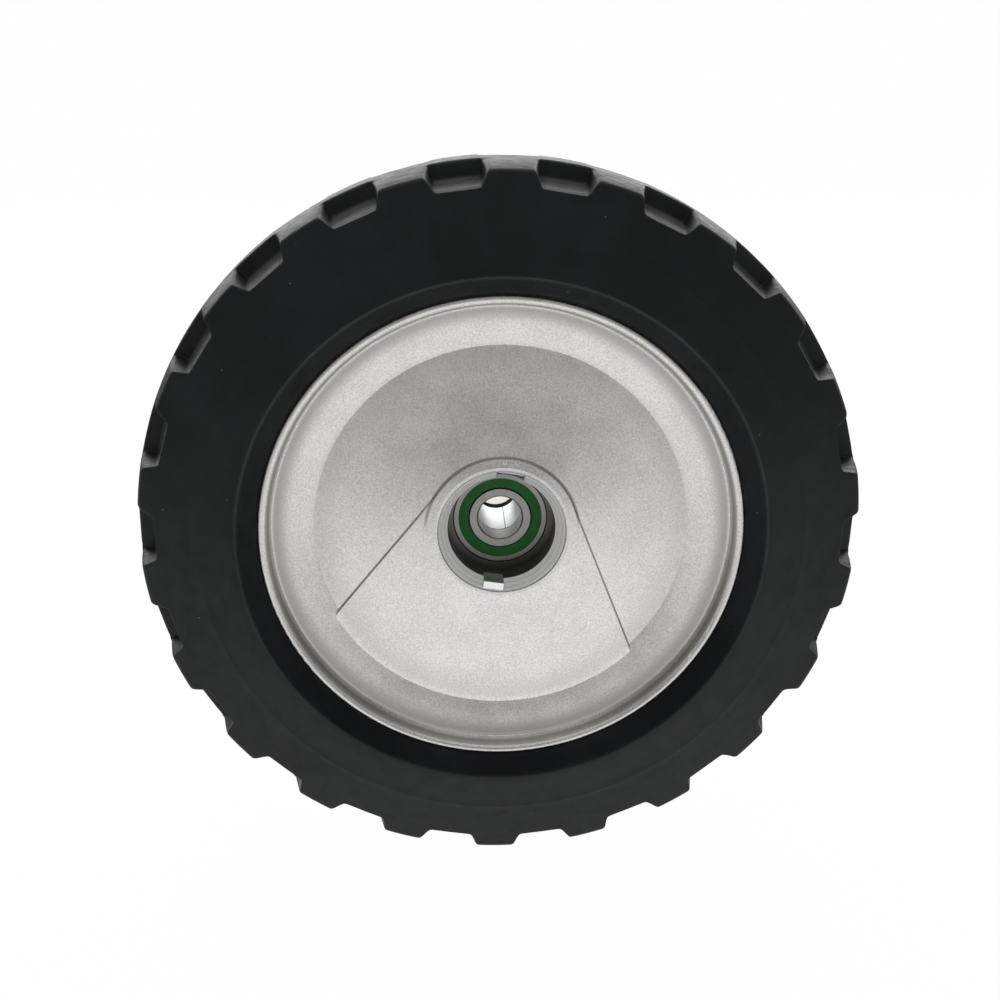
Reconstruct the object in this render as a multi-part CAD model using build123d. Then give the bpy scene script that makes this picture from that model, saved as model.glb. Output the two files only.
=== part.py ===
from build123d import *
import math
import os

# Mower wheel: solid tyre on a die-cast wheel that runs on two sealed ball bearings.
# Millimetres. The axle line is Y, the outer face looks along -Y, and Z is up.
# The origin is on the axle line in the middle plane of the tyre.

# Ball bearing
axle_diameter = 15.0
bearing_diameter = 32.0
bearing_width = 9.0
ball_diameter = 4.762
ball_count = 9
ball_clearance = 0.05
race_gap = 3.0  # radial space between the lands of the two races
race_chamfer = 0.4
seal_thickness = 1.0
seal_recess = 0.25  # seal face below the race faces
seal_seat_step = 0.85  # radial step in the outer race that the seal sits on
seal_fit = 0.02
seal_lip_gap = 0.3
seal_lip_taper = 0.35
cage_sheet = 0.5
cage_width = 2.0
cage_clearance = 0.1
rivet_diameter = 0.8
rivet_head_diameter = 1.4
rivet_head_height = 0.3
rivet_fit = 0.02

# Spacer tube between the inner races
spacer_length = 22.0
spacer_wall = 2.0
spacer_bore_clearance = 0.1
spacer_chamfer = 0.4
spacer_end_gap = 3.0  # end float towards the rear bearing
seam_width = 0.2
seam_turn = 18.0  # degrees from straight down

# Rim
rim_diameter = 161.2
rim_width = 45.6
lip_round = 1.2
lip_thickness = 2.8  # radial thickness of the front lip
lip_wall_depth = 5.3  # front lip down to the band
lip_wall_run = 1.4
lip_root_radius = 0.7
flange_height = 1.8
flange_width = 3.0
barrel_thickness = 4.0
barrel_draft = 1.0  # the barrel thickens towards the web

# Web
valley_diameter = 124.8
valley_depth = 8.8  # below the front lip, and so are the other depths
band_bulge = 0.2
web_hub_depth = 3.1
web_sag = 0.65
web_thickness = 4.2
web_root_radius = 4.0

# Raised hub pad with its fan-shaped gate
pad_diameter = 51.0
pad_height = 0.8
pad_step_run = 0.6
fan_half_angle = 29.45
casting_turn = 8.6  # degrees about the axle line

# Hub
mouth_diameter = 42.3
mouth_groove_width = 0.8
mouth_groove_depth = 0.45
mouth_land = 1.0  # flat ring outside the groove
recess_diameter = 36.1
recess_lip_depth = 6.3
bearing_depth = 16.5
bearing_sink = 0.2  # front race face below the recess floor
shoulder_height = 1.4
hub_diameter = 45.0
hub_taper = 1.5
hub_end_stand = 0.5
hub_end_chamfer = 0.6
wide_notch = 9.7
narrow_notch = 6.8
notch_reach = 20.5  # from the axle line to the notch wall
notch_depth = 10.5

# Tyre
tyre_diameter = 242.4
tyre_width = 55.4
tread_width = 33.0
crown_drop = 1.8
shoulder_radius = 1.4
bead_ridge_diameter = 175.2
bead_ridge_radius = 1.4
bead_lap = 0.5  # rubber edge below the front lip
rim_fit = 0.05
mould_ring_diameter = 201.0
mould_ring_radius = 0.6
mould_ring_height = 0.15

# Tread
lug_count = 22
first_lug_angle = 88.65
lug_swing = 1.6  # degrees that the stretched tyre moves its lugs from even steps
lug_swing_angle = 5.0
groove_floor_width = 15.0
flank_angle_outside = 29.0  # flank draft at the shoulder
flank_angle_inside = 9.0  # flank draft where the groove ends
groove_depth = 5.1
groove_rise = 0.058  # climb of the groove floor towards the middle plane
groove_root_radius = 1.5
groove_end_slope = 10.0
row_web = 7.0  # rib between the two rows at the crown

axle_radius = axle_diameter / 2
bearing_radius = bearing_diameter / 2
pitch_radius = (axle_radius + bearing_radius) / 2
ball_radius = ball_diameter / 2
inner_land = pitch_radius - race_gap / 2
outer_land = pitch_radius + race_gap / 2
seal_seat_radius = outer_land + seal_seat_step
seal_depth = seal_recess + seal_thickness

rim_radius = rim_diameter / 2
seat_radius = rim_radius - flange_height
band_end = rim_radius - lip_thickness - lip_wall_run
land_radius = mouth_diameter / 2 + mouth_groove_width / 2 + mouth_land
front_lip = -rim_width / 2
front_bearing_face = front_lip + bearing_depth
spacer_start = front_bearing_face + bearing_width
rear_bearing_face = spacer_start + spacer_length + spacer_end_gap
hub_end = rear_bearing_face + bearing_width + hub_end_stand


def turned(*edges):
    return revolve(make_face(Curve() + list(edges)), Axis.Y)


def path(*points):
    return [Line(a, b) for a, b in zip(points, points[1:])]


def rounded(section, point, radius):
    corner = section.vertices().sort_by_distance(Vector(*point))[0]
    return fillet(corner, radius)


def around(shape, count, start=0.0):
    return [Rot(0, start + 360 * i / count, 0) * shape for i in range(count)]


def at(radius, depth):
    return (radius, front_lip + depth)


# Bearing pieces, each built about its own middle plane


def race(inside, outside, chamfered_outside):
    half = bearing_width / 2
    width = outside - inside
    ring = Pos((inside + outside) / 2, 0) * Rectangle(width, bearing_width)
    edge = outside if chamfered_outside else inside
    corners = [v for v in ring.vertices() if abs(v.X - edge) < width / 4]
    ring = chamfer(corners, race_chamfer)
    ring -= Pos(pitch_radius, 0) * Circle(ball_radius + ball_clearance)
    if chamfered_outside:
        for side in (-1, 1):
            seat = Rectangle(seal_seat_step, seal_depth)
            ring -= Pos(inside + seal_seat_step / 2, side * (half - seal_depth / 2)) * seat
    return revolve(ring, Axis.Y)


def balls():
    return around(Pos(0, 0, pitch_radius) * Sphere(ball_radius), ball_count)


def cage_half(side):
    pocket = ball_radius + cage_clearance
    deep = pocket + cage_sheet
    low, high = pitch_radius - cage_width / 2, pitch_radius + cage_width / 2
    flat = revolve(Pos(pitch_radius, side * cage_sheet / 2) * Rectangle(cage_width, cage_sheet), Axis.Y)
    band = revolve(Pos((low + high) / 2, side * deep / 2) * Rectangle(cage_width, deep), Axis.Y)
    bulges = around(Pos(0, 0, pitch_radius) * Sphere(deep), ball_count)
    pockets = around(Pos(0, 0, pitch_radius) * Sphere(pocket), ball_count)
    hole = Pos(0, 0, pitch_radius) * Rot(90, 0, 0) * Cylinder(rivet_diameter / 2 + rivet_fit, 4 * deep)
    half = flat + [band & bulge for bulge in bulges]
    half -= pockets
    return half - around(hole, ball_count, 180 / ball_count)


def rivets():
    shank = rivet_diameter / 2
    head = rivet_head_diameter / 2
    top = cage_sheet + rivet_head_height
    outline = path((0, -top), (head, -top), (head, -cage_sheet), (shank, -cage_sheet), (shank, cage_sheet))
    outline += path((shank, cage_sheet), (head, cage_sheet), (head, top), (0, top), (0, -top))
    rivet = Pos(0, 0, pitch_radius) * turned(*outline)
    return around(rivet, ball_count, 180 / ball_count)


def seal(side):
    face = bearing_width / 2 - seal_recess
    back = face - seal_thickness
    lip = inner_land + seal_lip_gap
    rim = seal_seat_radius - seal_fit
    outline = path(
        (lip, side * (face - seal_lip_taper)),
        (lip + seal_lip_taper, side * face),
        (rim, side * face),
        (rim, side * back),
        (lip + seal_lip_taper, side * back),
        (lip, side * (back + seal_lip_taper)),
        (lip, side * (face - seal_lip_taper)),
    )
    return turned(*outline)


def bearing(name, face):
    place = Pos(0, face + bearing_width / 2, 0)
    return {
        f"{name}_bearing_outer_race": place * race(outer_land, bearing_radius, True),
        f"{name}_bearing_inner_race": place * race(axle_radius, inner_land, False),
        f"{name}_bearing_balls": Compound([place * ball for ball in balls()]),
        f"{name}_bearing_cage_outboard": place * cage_half(-1),
        f"{name}_bearing_cage_inboard": place * cage_half(1),
        f"{name}_bearing_cage_rivets": Compound([place * rivet for rivet in rivets()]),
        f"{name}_bearing_seal_outboard": place * seal(-1),
        f"{name}_bearing_seal_inboard": place * seal(1),
    }


# Rolled tube that keeps the inner races apart, with its butt seam


def spacer_tube():
    inside = axle_radius + spacer_bore_clearance
    wall = Pos(inside + spacer_wall / 2, spacer_start + spacer_length / 2)
    section = wall * Rectangle(spacer_wall, spacer_length)
    bore_corners = [v for v in section.vertices() if v.X < inside + spacer_wall / 2]
    tube = revolve(chamfer(bore_corners, spacer_chamfer), Axis.Y)
    reach = inside + 2 * spacer_wall
    slit = Pos(0, spacer_start + spacer_length / 2, -reach / 2) * Box(seam_width, 2 * spacer_length, reach)
    return tube - Rot(0, -seam_turn, 0) * slit


# One-piece die casting: rim, web, hub


def web_line(lift):
    end = valley_diameter / 2
    middle_depth = (web_hub_depth + valley_depth) / 2 + web_sag
    return ThreePointArc(
        at(land_radius, web_hub_depth - lift),
        at((land_radius + end) / 2, middle_depth - lift),
        at(end, valley_depth - lift),
    )


def front_outline():
    mouth = mouth_diameter / 2
    groove = mouth_groove_width / 2
    web = web_line(0)
    valley = valley_diameter / 2
    land_depth = web_hub_depth - pad_height
    outline = path(
        at(recess_diameter / 2, recess_lip_depth),
        at(mouth - groove, land_depth),
        at(mouth, land_depth + mouth_groove_depth),
        at(mouth + groove, land_depth),
        at(land_radius, land_depth),
        web @ 0,
    )
    outline.append(web)
    outline.append(
        ThreePointArc(
            web @ 1,
            at((valley + band_end) / 2, (valley_depth + lip_wall_depth) / 2 - band_bulge),
            at(band_end, lip_wall_depth),
        )
    )
    outline += path(at(band_end, lip_wall_depth), at(rim_radius - lip_thickness, lip_round))
    outline.append(
        ThreePointArc(
            at(rim_radius - lip_thickness, lip_round),
            at(rim_radius - lip_thickness / 2, 0),
            at(rim_radius, lip_round),
        )
    )
    return outline


def rim_outline():
    return path(
        at(rim_radius, lip_round),
        at(rim_radius, flange_width),
        at(seat_radius, flange_width),
        at(seat_radius, rim_width - flange_width),
        at(rim_radius, rim_width - flange_width),
        at(rim_radius, rim_width - lip_round),
        at(rim_radius - lip_round, rim_width),
        at(seat_radius - barrel_thickness, rim_width),
    )


def barrel_root():
    return at(seat_radius - barrel_thickness - barrel_draft, lip_wall_depth + web_thickness + barrel_draft)


def back_outline():
    hub = hub_diameter / 2
    return path(
        at(seat_radius - barrel_thickness, rim_width),
        barrel_root(),
        at(valley_diameter / 2, valley_depth + web_thickness),
        at(hub, web_hub_depth + web_thickness),
        (hub - hub_taper, hub_end - hub_end_chamfer),
        (hub - hub_taper - hub_end_chamfer, hub_end),
        (bearing_radius + hub_end_chamfer, hub_end),
    )


def bore_outline():
    shoulder = bearing_radius - shoulder_height
    recess = recess_diameter / 2
    recess_floor = front_bearing_face - bearing_sink
    return path(
        (bearing_radius + hub_end_chamfer, hub_end),
        (bearing_radius, hub_end - hub_end_chamfer),
        (bearing_radius, rear_bearing_face),
        (shoulder, rear_bearing_face),
        (shoulder, spacer_start),
        (bearing_radius, spacer_start),
        (bearing_radius, recess_floor),
        (recess, recess_floor),
        at(recess, recess_lip_depth),
    )


def pad_outline():
    pad_edge = pad_diameter / 2
    half = math.radians(fan_half_angle)
    side = Vector(pad_edge * math.cos(half), pad_edge * math.sin(half))
    end = side + Vector(math.sin(half), -math.cos(half)) * valley_diameter
    fan = Polyline(side, end, (-end.X, end.Y), (-side.X, side.Y), close=True)
    return make_face(fan) + Circle(pad_edge)


def raised_pad():
    top = web_line(pad_height)
    floor = web_line(-pad_height)
    run_out = (top % 1) * (band_end - valley_diameter / 2) / 2
    layer = [top, floor]
    layer += path(top @ 1, top @ 1 + run_out, floor @ 1 + run_out, floor @ 1)
    layer += path(top @ 0, floor @ 0)
    pad = turned(*layer) & extrude(Plane.XZ * pad_outline(), rim_width, both=True)
    front = [e for f in pad.faces() if f.normal_at().Y < -0.5 for e in f.edges()]
    walls = [f for f in pad.faces() if is_pad_wall(f)]
    rim = [e for f in walls for e in f.edges() if any(e.is_same(other) for other in front)]
    return chamfer(rim, pad_step_run)


def is_pad_wall(face):
    radius = math.hypot(face.center().X, face.center().Z)
    beyond_land = radius > (land_radius + pad_diameter / 2) / 2
    return beyond_land and radius < valley_diameter / 2 and abs(face.normal_at().Y) < 0.5


def notch(width, side):
    reach = notch_reach / 2
    depth = rim_width
    block = Box(width, depth, reach)
    return Pos(0, front_lip + notch_depth - depth / 2, side * (notch_reach - reach / 2)) * block


def casting_section():
    edges = front_outline() + rim_outline() + back_outline() + bore_outline()
    section = make_face(Curve() + edges)
    section = rounded(section, at(band_end, lip_wall_depth), lip_root_radius)
    band_back = barrel_root()[0] - valley_diameter / 2
    section = rounded(section, barrel_root(), min(web_root_radius, band_back / 2))
    return rounded(section, at(hub_diameter / 2, web_hub_depth + web_thickness), web_root_radius)


def wheel_casting():
    casting = revolve(casting_section(), Axis.Y)
    casting += raised_pad()
    casting -= notch(wide_notch, 1)
    casting -= notch(narrow_notch, -1)
    return Rot(0, casting_turn, 0) * casting


# Solid tyre with two staggered rows of lugs


def tyre_body():
    crown = tyre_diameter / 2
    shoulder = crown - crown_drop
    half_tread = tread_width / 2
    half_width = tyre_width / 2
    ridge = bead_ridge_diameter / 2
    lip = rim_radius + rim_fit
    seat = seat_radius + rim_fit
    edge = rim_width / 2 - bead_lap
    flange = rim_width / 2 - flange_width
    outline = [ThreePointArc((shoulder, -half_tread), (crown, 0), (shoulder, half_tread))]
    for side in (-1, 1):
        outline += path(
            (shoulder, side * half_tread),
            (ridge, side * half_width),
            (lip, side * edge),
            (lip, side * flange),
            (seat, side * flange),
        )
    outline += path((seat, -flange), (seat, flange))
    section = make_face(Curve() + outline)
    shoulders = [v for v in section.vertices() if abs(v.X - shoulder) < shoulder_radius]
    section = fillet(shoulders, shoulder_radius)
    ridges = [v for v in section.vertices() if abs(abs(v.Y) - half_width) < bead_ridge_radius]
    section = fillet(ridges, bead_ridge_radius)
    return revolve(section, Axis.Y)


def mould_rings():
    radius = mould_ring_diameter / 2
    ridge = bead_ridge_diameter / 2
    shoulder = tyre_diameter / 2 - crown_drop
    share = (radius - ridge) / (shoulder - ridge)
    wall = tyre_width / 2 + share * (tread_width - tyre_width) / 2
    centre = wall + mould_ring_height - mould_ring_radius
    section = Circle(mould_ring_radius)
    return [revolve(Pos(radius, side * centre) * section, Axis.Y) for side in (-1, 1)]


def groove_section(slope, floor, place):
    half = groove_floor_width / 2
    low = floor - groove_depth
    top = floor + 3 * groove_depth
    low_half = half - slope * (floor - low)
    top_half = half + slope * (top - floor)
    corners = [(low_half, low), (top_half, top), (-top_half, top), (-low_half, low)]
    return Pos(0, place, 0) * make_face(Plane.XZ * Polyline(*corners, close=True))


def groove():
    shoulder_edge = -tread_width / 2
    floor = tyre_diameter / 2 - crown_drop - groove_depth
    top = tyre_diameter / 2 + groove_depth
    end_slope = math.tan(math.radians(groove_end_slope))
    crown_end = -row_web / 2
    floor_end = crown_end - end_slope * groove_depth
    outer = -tyre_width / 2 - groove_depth
    slope_outside = math.tan(math.radians(flank_angle_outside))
    slope_inside = math.tan(math.radians(flank_angle_inside))
    flare = (slope_outside - slope_inside) / (floor_end - shoulder_edge)
    slope_outer = slope_outside + flare * (shoulder_edge - outer)
    slope_middle = slope_inside + flare * floor_end
    ends = [groove_section(slope_outer, floor, outer), groove_section(slope_middle, floor, 0)]
    wedge = loft(ends, ruled=True)
    along = Polyline(
        (outer, floor + groove_rise * (outer - shoulder_edge)),
        (floor_end, floor + groove_rise * (floor_end - shoulder_edge)),
        (crown_end + end_slope * groove_depth, top),
        (outer, top),
        close=True,
    )
    block = wedge & extrude(Plane.YZ * make_face(along), tyre_width, both=True)
    by_height = block.faces().sort_by(Axis.Z)
    by_width = block.faces().sort_by(Axis.Y)
    open_edges = by_height[-1].edges() + by_width[0].edges()
    inner_edges = by_height[0].edges() + by_width[-1].edges()
    roots = [e for e in inner_edges if not any(e.is_same(other) for other in open_edges)]
    return fillet(roots, groove_root_radius)


def lug_turn(step):
    even = first_lug_angle + step * 360 / lug_count
    swing = lug_swing * math.cos(math.radians(even - lug_swing_angle))
    return 90 - even + swing


def tyre():
    front = groove()
    rear = mirror(front, Plane.XZ)
    body = tyre_body() + mould_rings()
    body -= [Rot(0, lug_turn(step + 0.5), 0) * front for step in range(lug_count)]
    return body - [Rot(0, lug_turn(step), 0) * rear for step in range(lug_count)]


def pieces():
    nodes = {
        "tyre": tyre(),
        "wheel_casting": wheel_casting(),
        "spacer_tube": spacer_tube(),
    }
    nodes.update(bearing("front", front_bearing_face))
    nodes.update(bearing("rear", rear_bearing_face))
    return nodes


os.makedirs("parts", exist_ok=True)
for node, shape in pieces().items():
    shape.label = node
    export_step(shape, f"parts/{node}.step")
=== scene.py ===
import bpy
import math
from mathutils import Matrix, Vector


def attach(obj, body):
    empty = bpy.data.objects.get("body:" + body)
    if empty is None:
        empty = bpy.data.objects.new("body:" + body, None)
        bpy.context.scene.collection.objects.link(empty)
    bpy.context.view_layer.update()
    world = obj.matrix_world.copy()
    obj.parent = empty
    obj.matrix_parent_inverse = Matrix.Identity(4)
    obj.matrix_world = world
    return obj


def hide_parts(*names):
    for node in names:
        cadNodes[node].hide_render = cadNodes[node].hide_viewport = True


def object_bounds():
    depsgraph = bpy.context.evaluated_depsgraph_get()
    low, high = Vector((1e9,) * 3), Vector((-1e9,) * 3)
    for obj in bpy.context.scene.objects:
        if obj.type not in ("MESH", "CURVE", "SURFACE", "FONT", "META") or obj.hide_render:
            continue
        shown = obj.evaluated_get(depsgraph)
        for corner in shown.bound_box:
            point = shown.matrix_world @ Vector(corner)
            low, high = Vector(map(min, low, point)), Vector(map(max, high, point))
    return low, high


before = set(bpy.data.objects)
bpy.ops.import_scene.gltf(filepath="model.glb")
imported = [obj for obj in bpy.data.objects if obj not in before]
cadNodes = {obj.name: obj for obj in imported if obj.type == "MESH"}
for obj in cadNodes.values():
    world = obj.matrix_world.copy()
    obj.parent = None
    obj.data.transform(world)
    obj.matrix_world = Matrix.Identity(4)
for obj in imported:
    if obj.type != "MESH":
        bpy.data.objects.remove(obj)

mm = 0.001
cadLow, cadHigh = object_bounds()
print("frame loaded:", len(cadNodes), "solids")


# node helpers

def startMaterial(name):
    material = bpy.data.materials.new(name)
    material.use_nodes = True
    tree = material.node_tree
    return material, tree, tree.nodes["Principled BSDF"]


def feed(tree, socket, value):  # links an output, or sets a plain value
    if isinstance(value, bpy.types.NodeSocket):
        tree.links.new(value, socket)
    elif isinstance(value, tuple) and len(value) == 3 and socket.type == "RGBA":
        socket.default_value = (*value, 1)
    else:
        socket.default_value = value


def calc(tree, operation, first, second=0.0, clamp=False):
    node = tree.nodes.new("ShaderNodeMath")
    node.operation = operation
    node.use_clamp = clamp
    feed(tree, node.inputs[0], first)
    feed(tree, node.inputs[1], second)
    return node.outputs[0]


def times(tree, first, second):
    return calc(tree, "MULTIPLY", first, second)


def remap(tree, value, low, high, toLow=0.0, toHigh=1.0):  # smooth step between two values
    node = tree.nodes.new("ShaderNodeMapRange")
    node.interpolation_type = "SMOOTHSTEP"
    for socket, number in zip(list(node.inputs)[:5], (value, low, high, toLow, toHigh)):
        feed(tree, socket, number)
    return node.outputs[0]


def mixColour(tree, share, first, second):
    node = tree.nodes.new("ShaderNodeMix")
    node.data_type = "RGBA"
    feed(tree, node.inputs["Factor"], share)
    feed(tree, node.inputs[6], first)
    feed(tree, node.inputs[7], second)
    return node.outputs[2]


def objectPoint(tree):
    return tree.nodes.new("ShaderNodeTexCoord").outputs["Object"]


def stretch(tree, point, scale):
    node = tree.nodes.new("ShaderNodeMapping")
    feed(tree, node.inputs["Vector"], point)
    node.inputs["Scale"].default_value = scale
    return node.outputs[0]


def noise(tree, point, size, detail=2.0, roughness=0.5):  # size of one blotch in metres
    node = tree.nodes.new("ShaderNodeTexNoise")
    feed(tree, node.inputs["Vector"], point)
    node.inputs["Scale"].default_value = 1 / size
    node.inputs["Detail"].default_value = detail
    node.inputs["Roughness"].default_value = roughness
    return node.outputs[0]


def specks(tree, point, size, radius):  # 1 inside small dots, one dot in a cell
    node = tree.nodes.new("ShaderNodeTexVoronoi")
    feed(tree, node.inputs["Vector"], point)
    node.inputs["Scale"].default_value = 1 / size
    return remap(tree, node.outputs["Distance"], radius, radius * 0.6)


def axleRadius(tree, point):  # distance from the axle line
    flat = tree.nodes.new("ShaderNodeVectorMath")
    flat.operation = "MULTIPLY"
    feed(tree, flat.inputs[0], point)
    flat.inputs[1].default_value = (1, 0, 1)
    length = tree.nodes.new("ShaderNodeVectorMath")
    length.operation = "LENGTH"
    feed(tree, length.inputs[0], flat.outputs[0])
    return length.outputs["Value"]


def along(tree, point, axis):  # place along one axis
    split = tree.nodes.new("ShaderNodeSeparateXYZ")
    feed(tree, split.inputs[0], point)
    return split.outputs[axis]


def within(tree, value, limits, blur):  # 1 between two limits
    low, high = limits
    return times(tree, remap(tree, value, low - blur, low), remap(tree, value, high + blur, high))


def bump(tree, height, depth, strength=1.0, below=None):
    node = tree.nodes.new("ShaderNodeBump")
    node.inputs["Strength"].default_value = strength
    node.inputs["Distance"].default_value = depth
    feed(tree, node.inputs["Height"], height)
    if below:
        feed(tree, node.inputs["Normal"], below)
    return node.outputs[0]


def deselectAll():
    if bpy.context.mode != "OBJECT":
        bpy.ops.object.mode_set(mode="OBJECT")
    bpy.ops.object.select_all(action="DESELECT")


# finishes

aluminium = {
    "light": (0.92, 0.91, 0.89),
    "dark": (0.64, 0.63, 0.61),
    "toneSpread": (0.34, 0.66),
    "roughness": (0.31, 0.42),
    "grain": 0.6 * mm,
    "grainShare": 0.7,  # of the tone, and blotches give the rest
    "grainDepth": 0.08 * mm,
    "blotch": 14 * mm,
    # colour of the painted shade rings below
    "darkTone": (0.40, 0.39, 0.37),
    "shadeRings": {  # painted shade rings: inner, darkest and outer radius, and strength
        "lipFoot": (69.5 * mm, 75.2 * mm, 76.6 * mm, 0.85),
        "valleySide": (52 * mm, 61.5 * mm, 64.5 * mm, 0.25),
        "lipWall": (76.7 * mm, 77.2 * mm, 78.4 * mm, 0.9),
    },
    "stain": (0.50, 0.41, 0.33),  # dirt by the rubber
    "stainRadii": (78.6 * mm, 80.6 * mm),
    "stainBlotch": 9 * mm,
    "stainShare": 0.7,
    # painted shade lines at the pad's edge and in the hub mouth's groove
    "creaseShade": (0.28, 0.27, 0.26),
    "creaseShadeShare": 0.75,
    "padEdge": (25.2 * mm, 25.9 * mm),
    "padBlur": 0.2 * mm,
    "padHeights": (0.0, 6 * mm),  # painted shade on the pad's edge, above the axle only
    "mouthGroove": (20.9 * mm, 21.4 * mm),
    "mouthBlur": 0.15 * mm,
    "mouthHeights": (14 * mm, -8 * mm),  # the painted shade in the mouth's groove fades in downwards
    "shade": (0.16, 0.15, 0.14),  # painted shade in the bearing recess
    "recessRadii": (18.5 * mm, 18.3 * mm),
    "recessDepths": (-16.7 * mm, -15.7 * mm),
    "funnel": (17.6 * mm, 21.1 * mm),  # turned mouth of the hub
    "funnelBlur": 0.2 * mm,
    "satin": (0.95, 0.95, 0.94),
    "turnedLine": (0.80, 0.80, 0.79),
    "turnedPitch": 1.1 * mm,
    "turnedRelief": 0.2,
    "lipFace": (78.3 * mm, 80.8 * mm),  # leans in towards the axle
    "lipLean": 0.4 * mm,
}


def castAluminium():
    look = aluminium
    material, tree, shader = startMaterial("castAluminium")
    point = objectPoint(tree)
    radius = axleRadius(tree, point)
    height = along(tree, point, "Z")
    blotches = noise(tree, point, look["blotch"], 4.0, 0.6)
    grain = noise(tree, point, look["grain"], 3.0, 0.7)
    tone = calc(tree, "ADD", times(tree, grain, look["grainShare"]),
                times(tree, blotches, 1 - look["grainShare"]))
    colour = mixColour(tree, remap(tree, tone, *look["toneSpread"]), look["dark"], look["light"])
    # painted shade: rings darkened at the lip's foot, beside the valley and on the lip's inner wall
    for inner, darkest, outer, share in look["shadeRings"].values():
        ring = times(tree, remap(tree, radius, inner, darkest), remap(tree, radius, outer, darkest))
        colour = mixColour(tree, times(tree, ring, share), colour, look["darkTone"])
    patches = remap(tree, noise(tree, point, look["stainBlotch"], 3.0), 0.45, 0.75)
    dirt = times(tree, remap(tree, radius, *look["stainRadii"]), patches)
    colour = mixColour(tree, times(tree, dirt, look["stainShare"]), colour, look["stain"])
    # painted shade: thin dark lines at the pad's edge and in the mouth's groove
    padShadeLine = times(tree, within(tree, radius, look["padEdge"], look["padBlur"]),
                    remap(tree, height, *look["padHeights"]))
    mouthShadeLine = times(tree, within(tree, radius, look["mouthGroove"], look["mouthBlur"]),
                      remap(tree, height, *look["mouthHeights"]))
    lines = times(tree, calc(tree, "MAXIMUM", padShadeLine, mouthShadeLine), look["creaseShadeShare"])
    colour = mixColour(tree, lines, colour, look["creaseShade"])
    # painted shade on the bearing recess's walls
    deep = remap(tree, along(tree, point, "Y"), *look["recessDepths"])
    recess = times(tree, remap(tree, radius, *look["recessRadii"]), deep)
    colour = mixColour(tree, recess, colour, look["shade"])
    funnel = times(tree, within(tree, radius, look["funnel"], look["funnelBlur"]),
                   calc(tree, "SUBTRACT", 1.0, deep))
    turning = calc(tree, "SINE", times(tree, radius, 2 * math.pi / look["turnedPitch"]))
    turned = mixColour(tree, remap(tree, turning, -0.2, 1.0), look["satin"], look["turnedLine"])
    colour = mixColour(tree, funnel, colour, turned)
    feed(tree, shader.inputs["Base Color"], colour)
    feed(tree, shader.inputs["Metallic"], remap(tree, funnel, 0.0, 1.0, 1.0, 0.0))
    feed(tree, shader.inputs["Roughness"], remap(tree, blotches, 0.2, 0.8, *look["roughness"]))
    relief = calc(tree, "ADD", grain, times(tree, times(tree, turning, funnel), look["turnedRelief"]))
    low, high = look["lipFace"]
    lean = calc(tree, "DIVIDE", calc(tree, "SUBTRACT", radius, low), high - low, clamp=True)
    normal = bump(tree, relief, look["grainDepth"], 0.8, bump(tree, lean, look["lipLean"]))
    feed(tree, shader.inputs["Normal"], normal)
    return material


rubber = {
    "dark": (0.0055, 0.0065, 0.0075),
    "light": (0.012, 0.0135, 0.015),
    "haze": 32 * mm,
    "speck": (0.16, 0.16, 0.16),
    "speckCell": 7 * mm,
    "speckRadius": 0.05,  # share of a cell
    "speckPatch": 13 * mm,
    "speckShare": 0.6,
    # lighter groove floors: dust and painted sheen
    "dustAndSheen": (0.12, 0.12, 0.125),
    "dustSheenRadii": (116.8 * mm, 114.4 * mm),  # dust and painted sheen, thickest on the groove floors
    "dustSheenSides": (18.6 * mm, 17.0 * mm),
    "dustSheenBlotch": 5 * mm,
    "roughness": (0.38, 0.58),
    "scuff": 6 * mm,
    "gloss": 0.3,  # specular level
    "beadGloss": 0.14,
    "beadBlur": 1 * mm,
    "ridge": (87.3 * mm, 87.8 * mm),
    "ridgeBlur": 0.25 * mm,
    # painted highlight: colour of a thin lighter line along the sidewall's ridge
    "ridgeHighlight": (0.04, 0.041, 0.043),
    "grain": (0.9 * mm, 0.03 * mm),  # size and depth
    "wave": (8 * mm, 0.12 * mm),
}


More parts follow.
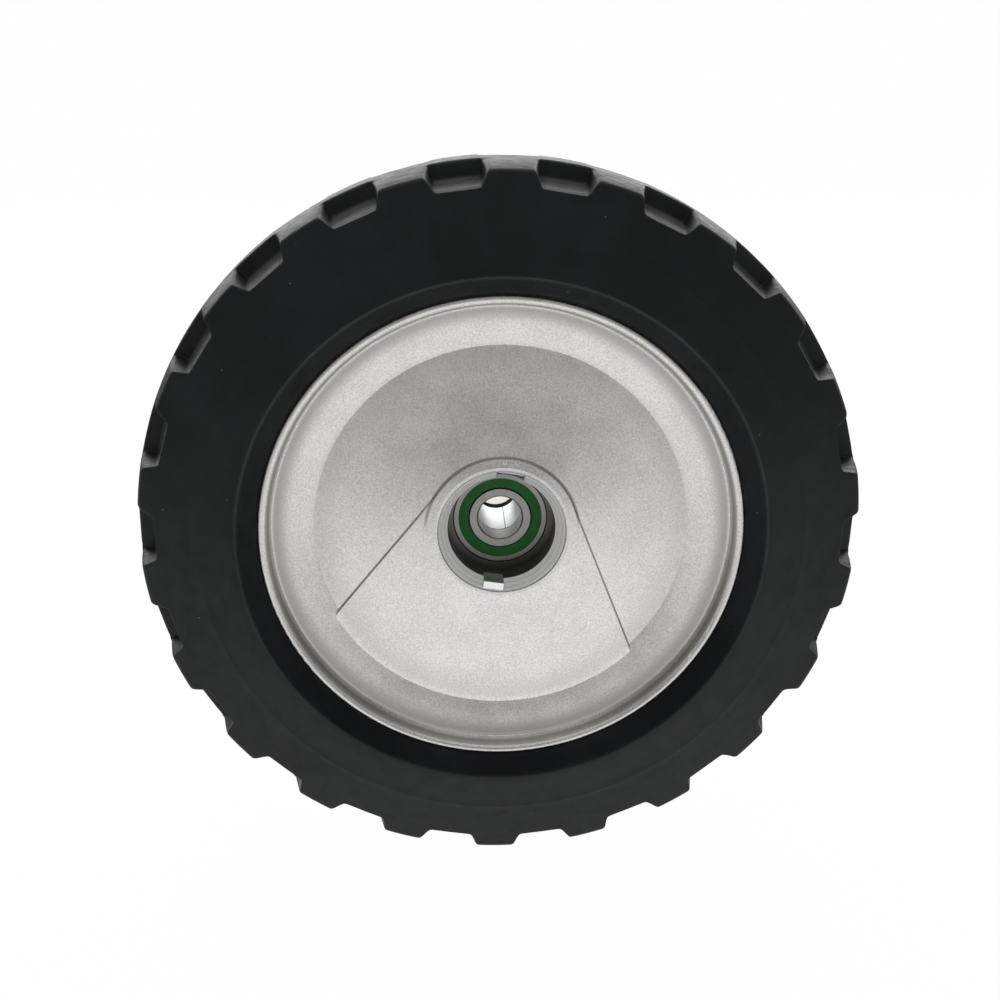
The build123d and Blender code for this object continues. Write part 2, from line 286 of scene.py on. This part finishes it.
def tyreRubber():
    look = rubber
    material, tree, shader = startMaterial("tyreRubber")
    point = objectPoint(tree)
    radius = axleRadius(tree, point)
    haze = noise(tree, point, look["haze"], 5.0, 0.6)
    colour = mixColour(tree, remap(tree, haze, 0.35, 0.7), look["dark"], look["light"])
    dots = times(tree, specks(tree, point, look["speckCell"], look["speckRadius"]),
                 remap(tree, noise(tree, point, look["speckPatch"]), 0.5, 0.6))
    colour = mixColour(tree, times(tree, dots, look["speckShare"]), colour, look["speck"])
    # painted highlight: thin lighter line on the sidewall's ridge
    line = times(tree, within(tree, radius, look["ridge"], look["ridgeBlur"]), haze)
    colour = mixColour(tree, line, colour, look["ridgeHighlight"])
    side = calc(tree, "ABSOLUTE", along(tree, point, "Y"))
    # groove floors lightened: dust and painted sheen
    floors = times(tree, remap(tree, side, *look["dustSheenSides"]), remap(tree, radius, *look["dustSheenRadii"]))
    patches = remap(tree, noise(tree, point, look["dustSheenBlotch"], 4.0), 0.25, 0.6, 0.55, 1.0)
    colour = mixColour(tree, times(tree, floors, patches), colour, look["dustAndSheen"])
    feed(tree, shader.inputs["Base Color"], colour)
    scuff = noise(tree, stretch(tree, point, (1, 3, 1)), look["scuff"], 6.0, 0.7)
    feed(tree, shader.inputs["Roughness"], remap(tree, scuff, 0.3, 0.75, *look["roughness"]))
    foot = look["ridge"][0]
    gloss = remap(tree, radius, foot - look["beadBlur"], foot, look["beadGloss"], look["gloss"])
    feed(tree, shader.inputs["Specular IOR Level"], gloss)
    grain, grainDepth = look["grain"]
    wave, waveDepth = look["wave"]
    waves = bump(tree, noise(tree, point, wave, 2.0), waveDepth, 0.5)
    normal = bump(tree, noise(tree, point, grain, 3.0, 0.6), grainDepth, 0.6, waves)
    feed(tree, shader.inputs["Normal"], normal)
    return material


steel = {  # colour and roughness
    "bearingSteel": ((0.40, 0.39, 0.37), 0.42),
    "ballSteel": ((0.72, 0.72, 0.72), 0.16),
    "cageSteel": ((0.55, 0.53, 0.50), 0.35),
    "spacerSteel": ((0.56, 0.60, 0.58), 0.36),
}
latheLines = {
    "pitch": 0.16 * mm,
    "depth": 0.004 * mm,
    "cloud": 3 * mm,
    "dullness": 0.8,
}


def turnedSteel(name):  # fine lathe lines round the axle
    colour, roughness = steel[name]
    material, tree, shader = startMaterial(name)
    point = objectPoint(tree)
    lines = calc(tree, "SINE", times(tree, axleRadius(tree, point), 2 * math.pi / latheLines["pitch"]))
    cloud = noise(tree, point, latheLines["cloud"], 3.0)
    darkTone = tuple(latheLines["dullness"] * c for c in colour)
    feed(tree, shader.inputs["Base Color"], mixColour(tree, remap(tree, cloud, 0.3, 0.7), darkTone, colour))
    shader.inputs["Metallic"].default_value = 1.0
    feed(tree, shader.inputs["Roughness"], remap(tree, cloud, 0.2, 0.8, roughness - 0.05, roughness + 0.05))
    feed(tree, shader.inputs["Normal"], bump(tree, lines, latheLines["depth"], 0.6))
    return material


seal = {
    "dark": (0.0145, 0.138, 0.02),
    "light": (0.0215, 0.18, 0.029),
    "cloud": 2.5 * mm,
    "roughness": (0.42, 0.52),
    "gloss": 0.25,  # specular level
    "grain": (0.4 * mm, 0.01 * mm),  # size and depth
}


def sealRubber():
    material, tree, shader = startMaterial("sealRubber")
    point = objectPoint(tree)
    cloud = noise(tree, point, seal["cloud"], 3.0)
    colour = mixColour(tree, remap(tree, cloud, 0.3, 0.7), seal["dark"], seal["light"])
    feed(tree, shader.inputs["Base Color"], colour)
    feed(tree, shader.inputs["Roughness"], remap(tree, cloud, 0.2, 0.8, *seal["roughness"]))
    shader.inputs["Specular IOR Level"].default_value = seal["gloss"]
    grain, grainDepth = seal["grain"]
    feed(tree, shader.inputs["Normal"], bump(tree, noise(tree, point, grain), grainDepth, 0.6))
    return material


def dressSolids():
    finishes = {
        "tyre_rubber": tyreRubber(),
        "cast_aluminium": castAluminium(),
        "bearing_steel": turnedSteel("bearingSteel"),
        "ball_steel": turnedSteel("ballSteel"),
        "cage_steel": turnedSteel("cageSteel"),
        "seal_rubber": sealRubber(),
        "spacer_steel": turnedSteel("spacerSteel"),
    }
    for solid in cadNodes.values():
        for slot in solid.material_slots:
            slot.material = finishes[slot.material.name]
    print("finishes on", len(cadNodes), "solids")
    return finishes


finishes = dressSolids()


# tyre with soft-edged lugs, one grid wrapped round the axle

tyreShape = {  # mm and degrees
    "crown": 121.2,
    "crownDrop": 1.8,
    "halfTread": 16.5,
    "shoulderRound": 2.0,
    "ridge": (27.7, 87.6),  # half width and radius
    "ridgeRound": 1.4,
    "lip": (22.3, 80.65),
    "seat": (19.8, 78.85),
    "mouldRing": (100.5, 0.8, 0.1),  # radius, half width and height
    "lugs": 22,
    "firstLug": 88.65,
    "swing": 1.6,
    "swingAngle": 5.0,
    "floorWidth": 14.8,
    "flankOutside": 29.0,
    "flankInside": 9.0,
    "grooveDepth": 5.4,
    "grooveRise": 0.085,
    "rib": 7.0,
    "ribRows": (0, 0.9, 1.8),
    "endSlope": 10.0,
    "edgeRound": 1.6,
    "rootRound": 1.5,
    "leastDepth": 2.0,  # keeps the grid's columns apart where a groove runs out
    "treadFoot": 112.5,  # radius where the close rows of the tread end
    "evenBelow": (104.0, 113.0),  # radii between which the columns turn even
    "lean": (1.9, 0.3),  # the stretched tread sits forward and is a little coned
}
shoulderRadius = tyreShape["crown"] - tyreShape["crownDrop"]
baseFloor = shoulderRadius - tyreShape["grooveDepth"]
wallFoot = tyreShape["rib"] / 2 + tyreShape["grooveDepth"] * math.tan(math.radians(tyreShape["endSlope"]))


def crownRadius(y):
    return tyreShape["crown"] - tyreShape["crownDrop"] * (y / tyreShape["halfTread"]) ** 2


def floorHeight(y):
    return baseFloor + tyreShape["grooveRise"] * (tyreShape["halfTread"] - y)


def lugAngle(step):
    even = tyreShape["firstLug"] + step * 360 / tyreShape["lugs"]
    return even - tyreShape["swing"] * math.cos(math.radians(even - tyreShape["swingAngle"]))


def between(first, last, count):  # evenly spread points after the first, up to the last
    return [first.lerp(last, (i + 1) / count) for i in range(count)]


def roundCorner(before, corner, after, radius, steps=4):
    back = (before - corner).normalized()
    ahead = (after - corner).normalized()
    shortest = min((before - corner).length, (after - corner).length)
    reach = min(radius / math.tan(back.angle(ahead) / 2), 0.45 * shortest)
    start = corner + back * reach
    end = corner + ahead * reach
    shares = [i / steps for i in range(steps + 1)]
    return [start * (1 - t) ** 2 + corner * 2 * t * (1 - t) + end * t * t for t in shares]


def sidePoint(radius):  # point on the straight sidewall
    outY, outRadius = tyreShape["ridge"]
    share = (shoulderRadius - radius) / (shoulderRadius - outRadius)
    return Vector((tyreShape["halfTread"] + share * (outY - tyreShape["halfTread"]), radius))


def tyreHalfRows():  # axle place, body radius and groove floor, from the crown to the rim seat
    shape = tyreShape
    shoulder = Vector((shape["halfTread"], shoulderRadius))
    ridge = Vector(shape["ridge"])
    lip = Vector(shape["lip"])
    flange = Vector((shape["seat"][0], shape["lip"][1]))
    seat = Vector(shape["seat"])
    wallTop = Vector((shape["rib"] / 2, crownRadius(shape["rib"] / 2)))
    foot = Vector((wallFoot, floorHeight(wallFoot)))
    crown = Vector((0, shape["crown"]))
    rows = [(y, crownRadius(y), crownRadius(y)) for y in shape["ribRows"]]
    wall = roundCorner(crown, wallTop, foot, shape["edgeRound"])
    wall += roundCorner(wallTop, foot, Vector((shape["halfTread"], baseFloor)), shape["rootRound"])
    rows += [(p.x, crownRadius(p.x), p.y) for p in wall]
    bend = roundCorner(crown.lerp(shoulder, 0.5), shoulder, ridge, shape["shoulderRound"])
    rows += [(p.x, crownRadius(p.x), floorHeight(p.x)) for p in between(wall[-1], bend[0], 7)[:-1]]
    ringRadius, ringHalf, ringHeight = shape["mouldRing"]
    ring = [sidePoint(ringRadius + ringHalf * (1 - i / 2)) + Vector((ringHeight * (1 - abs(i / 2 - 1)), 0))
            for i in range(5)]
    ridgeBend = roundCorner(shoulder, ridge, lip, shape["ridgeRound"])
    treadFoot = sidePoint(shape["treadFoot"])
    outline = bend + between(bend[-1], treadFoot, 13)
    outline += between(treadFoot, ring[0], 5)[:-1] + ring
    outline += between(ring[-1], ridgeBend[0], 5)[:-1] + ridgeBend
    outline += between(ridgeBend[-1], lip, 3) + [flange, seat] + between(seat, Vector((0, seat.y)), 3)
    rows += [(p.x, p.y, floorHeight(p.x)) for p in outline]
    return rows


def halfGroove(y, body, floor):  # angle and radius from the lug's edge to the groove's middle
    shape = tyreShape
    inside = math.tan(math.radians(shape["flankInside"]))
    outside = math.tan(math.radians(shape["flankOutside"]))
    slope = inside + (outside - inside) * (y - wallFoot) / (shape["halfTread"] - wallFoot)
    top = max(body, floor + shape["leastDepth"])
    half = shape["floorWidth"] / 2
    height = top
    for again in range(3):  # flank line meets the round top
        edge = half + slope * (height - baseFloor)
        height = math.sqrt(top * top - edge * edge)
    edgePoint = Vector((edge, height))
    root = Vector((half + slope * (floor - baseFloor), floor))
    lugSide = edgePoint + Vector((height, -edge)) * 0.05
    middle = Vector((0, floor))
    points = roundCorner(lugSide, edgePoint, root, shape["edgeRound"])
    points += roundCorner(edgePoint, root, middle, shape["rootRound"])
    points += between(points[-1], middle, 3)
    return [(math.atan2(p.x, p.y), min(p.length, body)) for p in points]


def tyreRing(y, body, floor, offset):  # one row of points right round, lug by lug
    stations = halfGroove(y, body, floor)
    ring = []
    for step in range(tyreShape["lugs"]):
        middle = math.radians(lugAngle(step + offset))
        for side in (-1, 1):
            lug = math.radians(lugAngle(step + offset + side / 2))
            edge = middle + side * stations[0][0]
            half = [(lug + (edge - lug) * share, body) for share in (0, 0.4, 0.7, 0.88)]
            half += [(middle + side * angle, radius) for angle, radius in stations]
            ring += half[:-1] if side < 0 else half[:0:-1]
    return ring


def clampShare(value):
    return min(max(value, 0), 1)


def tyrePoints():
    half = tyreHalfRows()
    rows = [(-y, body, floor) for y, body, floor in reversed(half)] + half[1:]
    low, high = tyreShape["evenBelow"]
    ridgeRadius = tyreShape["ridge"][1]
    forward, cone = tyreShape["lean"]
    points = []
    for y, body, floor in rows:
        front = tyreRing(abs(y), body, floor, 0.5)
        rear = tyreRing(abs(y), body, floor, 0.0)
        shift = len(rear) // tyreShape["lugs"] // 2  # rear grooves start where the front lugs do
        rear = rear[shift:] + [(angle + 2 * math.pi, radius) for angle, radius in rear[:shift]]
        share = clampShare(y / tyreShape["rib"] + 0.5)
        share = share * share * (3 - 2 * share)
        even = clampShare((high - body) / (high - low))
        out = clampShare((body - ridgeRadius) / (shoulderRadius - ridgeRadius))
        across = y - forward * out
        drop = cone * out * y / tyreShape["halfTread"]
        for column in range(len(front) + 1):
            turns, station = divmod(column, len(front))
            frontAngle, frontRadius = front[station]
            rearAngle, rearRadius = rear[station]
            angle = frontAngle + (rearAngle - frontAngle) * share
            start = front[0][0] + 2 * math.pi * station / len(front)
            angle += (start - angle) * even + 2 * math.pi * turns
            radius = frontRadius + (rearRadius - frontRadius) * share - drop
            points.append((radius * math.cos(angle) * mm, across * mm, radius * math.sin(angle) * mm))
    return points, len(rows)


def makeTyre():
    points, rowCount = tyrePoints()
    columns = len(points) // rowCount - 1
    deselectAll()
    bpy.ops.mesh.primitive_grid_add(x_subdivisions=columns, y_subdivisions=rowCount - 1)
    tyre = bpy.context.object
    tyre.name = "lugTyre"
    tyre.data.vertices.foreach_set("co", [number for point in points for number in point])
    bpy.ops.object.mode_set(mode="EDIT")
    bpy.ops.mesh.select_all(action="SELECT")
    bpy.ops.mesh.remove_doubles(threshold=0.001 * mm)
    bpy.ops.mesh.normals_make_consistent(inside=False)
    bpy.ops.object.mode_set(mode="OBJECT")
    bpy.ops.object.shade_smooth()
    tyre.data.materials.append(finishes["tyre_rubber"])
    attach(tyre, "wheel")
    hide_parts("tyre")
    print("tyre wrapped:", len(tyre.data.polygons), "faces")


makeTyre()


# bright key in the narrow gap of the hub's mouth

hubKey = {
    "width": 6.7 * mm,
    "radii": (18.0 * mm, 20.45 * mm),
    "depths": (-20.5 * mm, -12.35 * mm),
    "turn": 8.6,  # degrees, with the casting
    "colour": (0.96, 0.96, 0.95),
    "roughness": (0.24, 0.36),
    "cloud": 1.5 * mm,
}


def brightMetal():
    material, tree, shader = startMaterial("brightMetal")
    shader.inputs["Base Color"].default_value = (*hubKey["colour"], 1)
    shader.inputs["Metallic"].default_value = 1.0
    cloud = noise(tree, objectPoint(tree), hubKey["cloud"], 3.0)
    feed(tree, shader.inputs["Roughness"], remap(tree, cloud, 0.2, 0.8, *hubKey["roughness"]))
    return material


def makeHubKey():
    inner, outer = hubKey["radii"]
    front, back = hubKey["depths"]
    deselectAll()
    bpy.ops.mesh.primitive_cube_add(size=1, location=(0, (front + back) / 2, -(inner + outer) / 2))
    key = bpy.context.object
    key.name = "hubKey"
    key.scale = (hubKey["width"], back - front, outer - inner)
    bpy.ops.object.transform_apply(location=True, rotation=False, scale=True)
    key.rotation_euler.y = math.radians(hubKey["turn"])
    bpy.ops.object.transform_apply(location=False, rotation=True, scale=False)
    key.data.materials.append(brightMetal())
    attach(key, "wheel")
    print("hub key set")


makeHubKey()


# floor, light and camera

studio = {
    "floorSize": 8.0,
    "floorColour": (0.95, 0.95, 0.95),
    "ownGlow": 0.985,  # share of the floor that glows instead of taking shadow
    "nearGlow": 1.0,
    "farGlow": (0.38, 0.56),  # left and right
    "farSide": 0.8,
    "glowReach": 0.55,
    "glowFall": 3.0,
    "behind": 0.3,  # share of the glow behind the wheel
    "behindFrom": 0.25,
    "frontWorld": 0.3,
    "backWorld": 1.0,
    "worldTurn": (-0.5, 0.8),  # from front to back along the axle line
    "softboxes": {  # place, width, height and watts, each facing the wheel
        "overheadSoftbox": ((0.0, -0.1, 1.0), 1.3, 1.3, 2.2),
        "backSoftbox": ((0.0, 1.0, 0.5), 1.6, 0.8, 6.4),
    },
}


def makeFloor():
    deselectAll()
    bpy.ops.mesh.primitive_plane_add(size=studio["floorSize"], location=(0, 0, cadLow.z))
    floor = bpy.context.object
    floor.name = "studioFloor"
    material, tree, shader = startMaterial("paleFloor")
    tree.nodes.remove(shader)
    paint = tree.nodes.new("ShaderNodeBsdfDiffuse")
    paint.inputs["Color"].default_value = (*studio["floorColour"], 1)
    point = objectPoint(tree)
    away = tree.nodes.new("ShaderNodeVectorMath")  # distance from the wheel
    away.operation = "LENGTH"
    feed(tree, away.inputs[0], point)
    reach = calc(tree, "DIVIDE", away.outputs["Value"], studio["glowReach"])
    side = studio["farSide"]
    far = remap(tree, along(tree, point, "X"), -side, side, *studio["farGlow"])
    fall = calc(tree, "DIVIDE", calc(tree, "SUBTRACT", studio["nearGlow"], far),
                calc(tree, "ADD", calc(tree, "POWER", reach, studio["glowFall"]), 1.0))
    behind = remap(tree, along(tree, point, "Y"), 0.0, studio["behindFrom"], 1.0, studio["behind"])
    light = tree.nodes.new("ShaderNodeLightPath")
    seen = light.outputs["Is Camera Ray"]
    level = times(tree, calc(tree, "ADD", fall, far), behind)
    level = calc(tree, "MAXIMUM", level, seen)  # white to the camera
    glow = tree.nodes.new("ShaderNodeEmission")
    feed(tree, glow.inputs["Strength"], level)
    mix = tree.nodes.new("ShaderNodeMixShader")
    shown = calc(tree, "MAXIMUM", seen, light.outputs["Is Glossy Ray"])
    feed(tree, mix.inputs[0], times(tree, shown, studio["ownGlow"]))
    feed(tree, mix.inputs[1], paint.outputs[0])
    feed(tree, mix.inputs[2], glow.outputs[0])
    feed(tree, tree.nodes["Material Output"].inputs["Surface"], mix.outputs[0])
    floor.data.materials.append(material)


def makeWorld():
    world = bpy.data.worlds.new("studioWorld")
    bpy.context.scene.world = world
    world.use_nodes = True
    tree = world.node_tree
    direction = tree.nodes.new("ShaderNodeTexCoord").outputs["Generated"]
    ends = (studio["frontWorld"], studio["backWorld"])
    glow = remap(tree, along(tree, direction, "Y"), *studio["worldTurn"], *ends)
    ray = tree.nodes.new("ShaderNodeLightPath").outputs["Is Camera Ray"]
    level = calc(tree, "MAXIMUM", glow, ray)
    feed(tree, tree.nodes["Background"].inputs["Strength"], level)
    tree.nodes["Background"].inputs["Color"].default_value = (1, 1, 1, 1)


def makeLights():
    for name, (spot, width, height, watts) in studio["softboxes"].items():
        lamp = bpy.data.lights.new(name, "AREA")
        lamp.shape = "RECTANGLE"
        lamp.size = width
        lamp.size_y = height
        lamp.energy = watts
        softbox = bpy.data.objects.new(name, lamp)
        softbox.location = spot
        softbox.rotation_euler = Vector(spot).to_track_quat("Z", "Y").to_euler()
        softbox.visible_camera = False
        bpy.context.collection.objects.link(softbox)


view = {
    "sensor": 36,  # mm
    "lens": 64.8,
    "aside": 2.76,  # degrees left of the axle line
    "above": 19.72,
    "rimPlane": -22.8 * mm,
    "shift": (-0.82 * mm, 11.55 * mm, 594 * mm),  # right, up and back from the rim's middle
}


def makeCamera():
    a = math.radians(view["aside"])
    e = math.radians(view["above"])
    right = Vector((math.cos(a), -math.sin(a), 0))
    up = Vector((math.sin(a) * math.sin(e), math.cos(a) * math.sin(e), math.cos(e)))
    back = Vector((-math.sin(a) * math.cos(e), -math.cos(a) * math.cos(e), math.sin(e)))
    spot = Vector((0, view["rimPlane"], 0))
    for axis, length in zip((right, up, back), view["shift"]):
        spot += axis * length
    data = bpy.data.cameras.new("photoCamera")
    data.sensor_width = view["sensor"]
    data.lens = view["lens"]
    data.clip_start = 0.01
    camera = bpy.data.objects.new("photoCamera", data)
    turn = Matrix((right, up, back)).transposed().to_4x4()
    camera.matrix_world = Matrix.Translation(spot) @ turn
    bpy.context.collection.objects.link(camera)
    bpy.context.scene.camera = camera


makeFloor()
makeWorld()
makeLights()
makeCamera()
bpy.context.scene.view_settings.view_transform = "Standard"
print("studio ready")

bpy.context.view_layer.update()
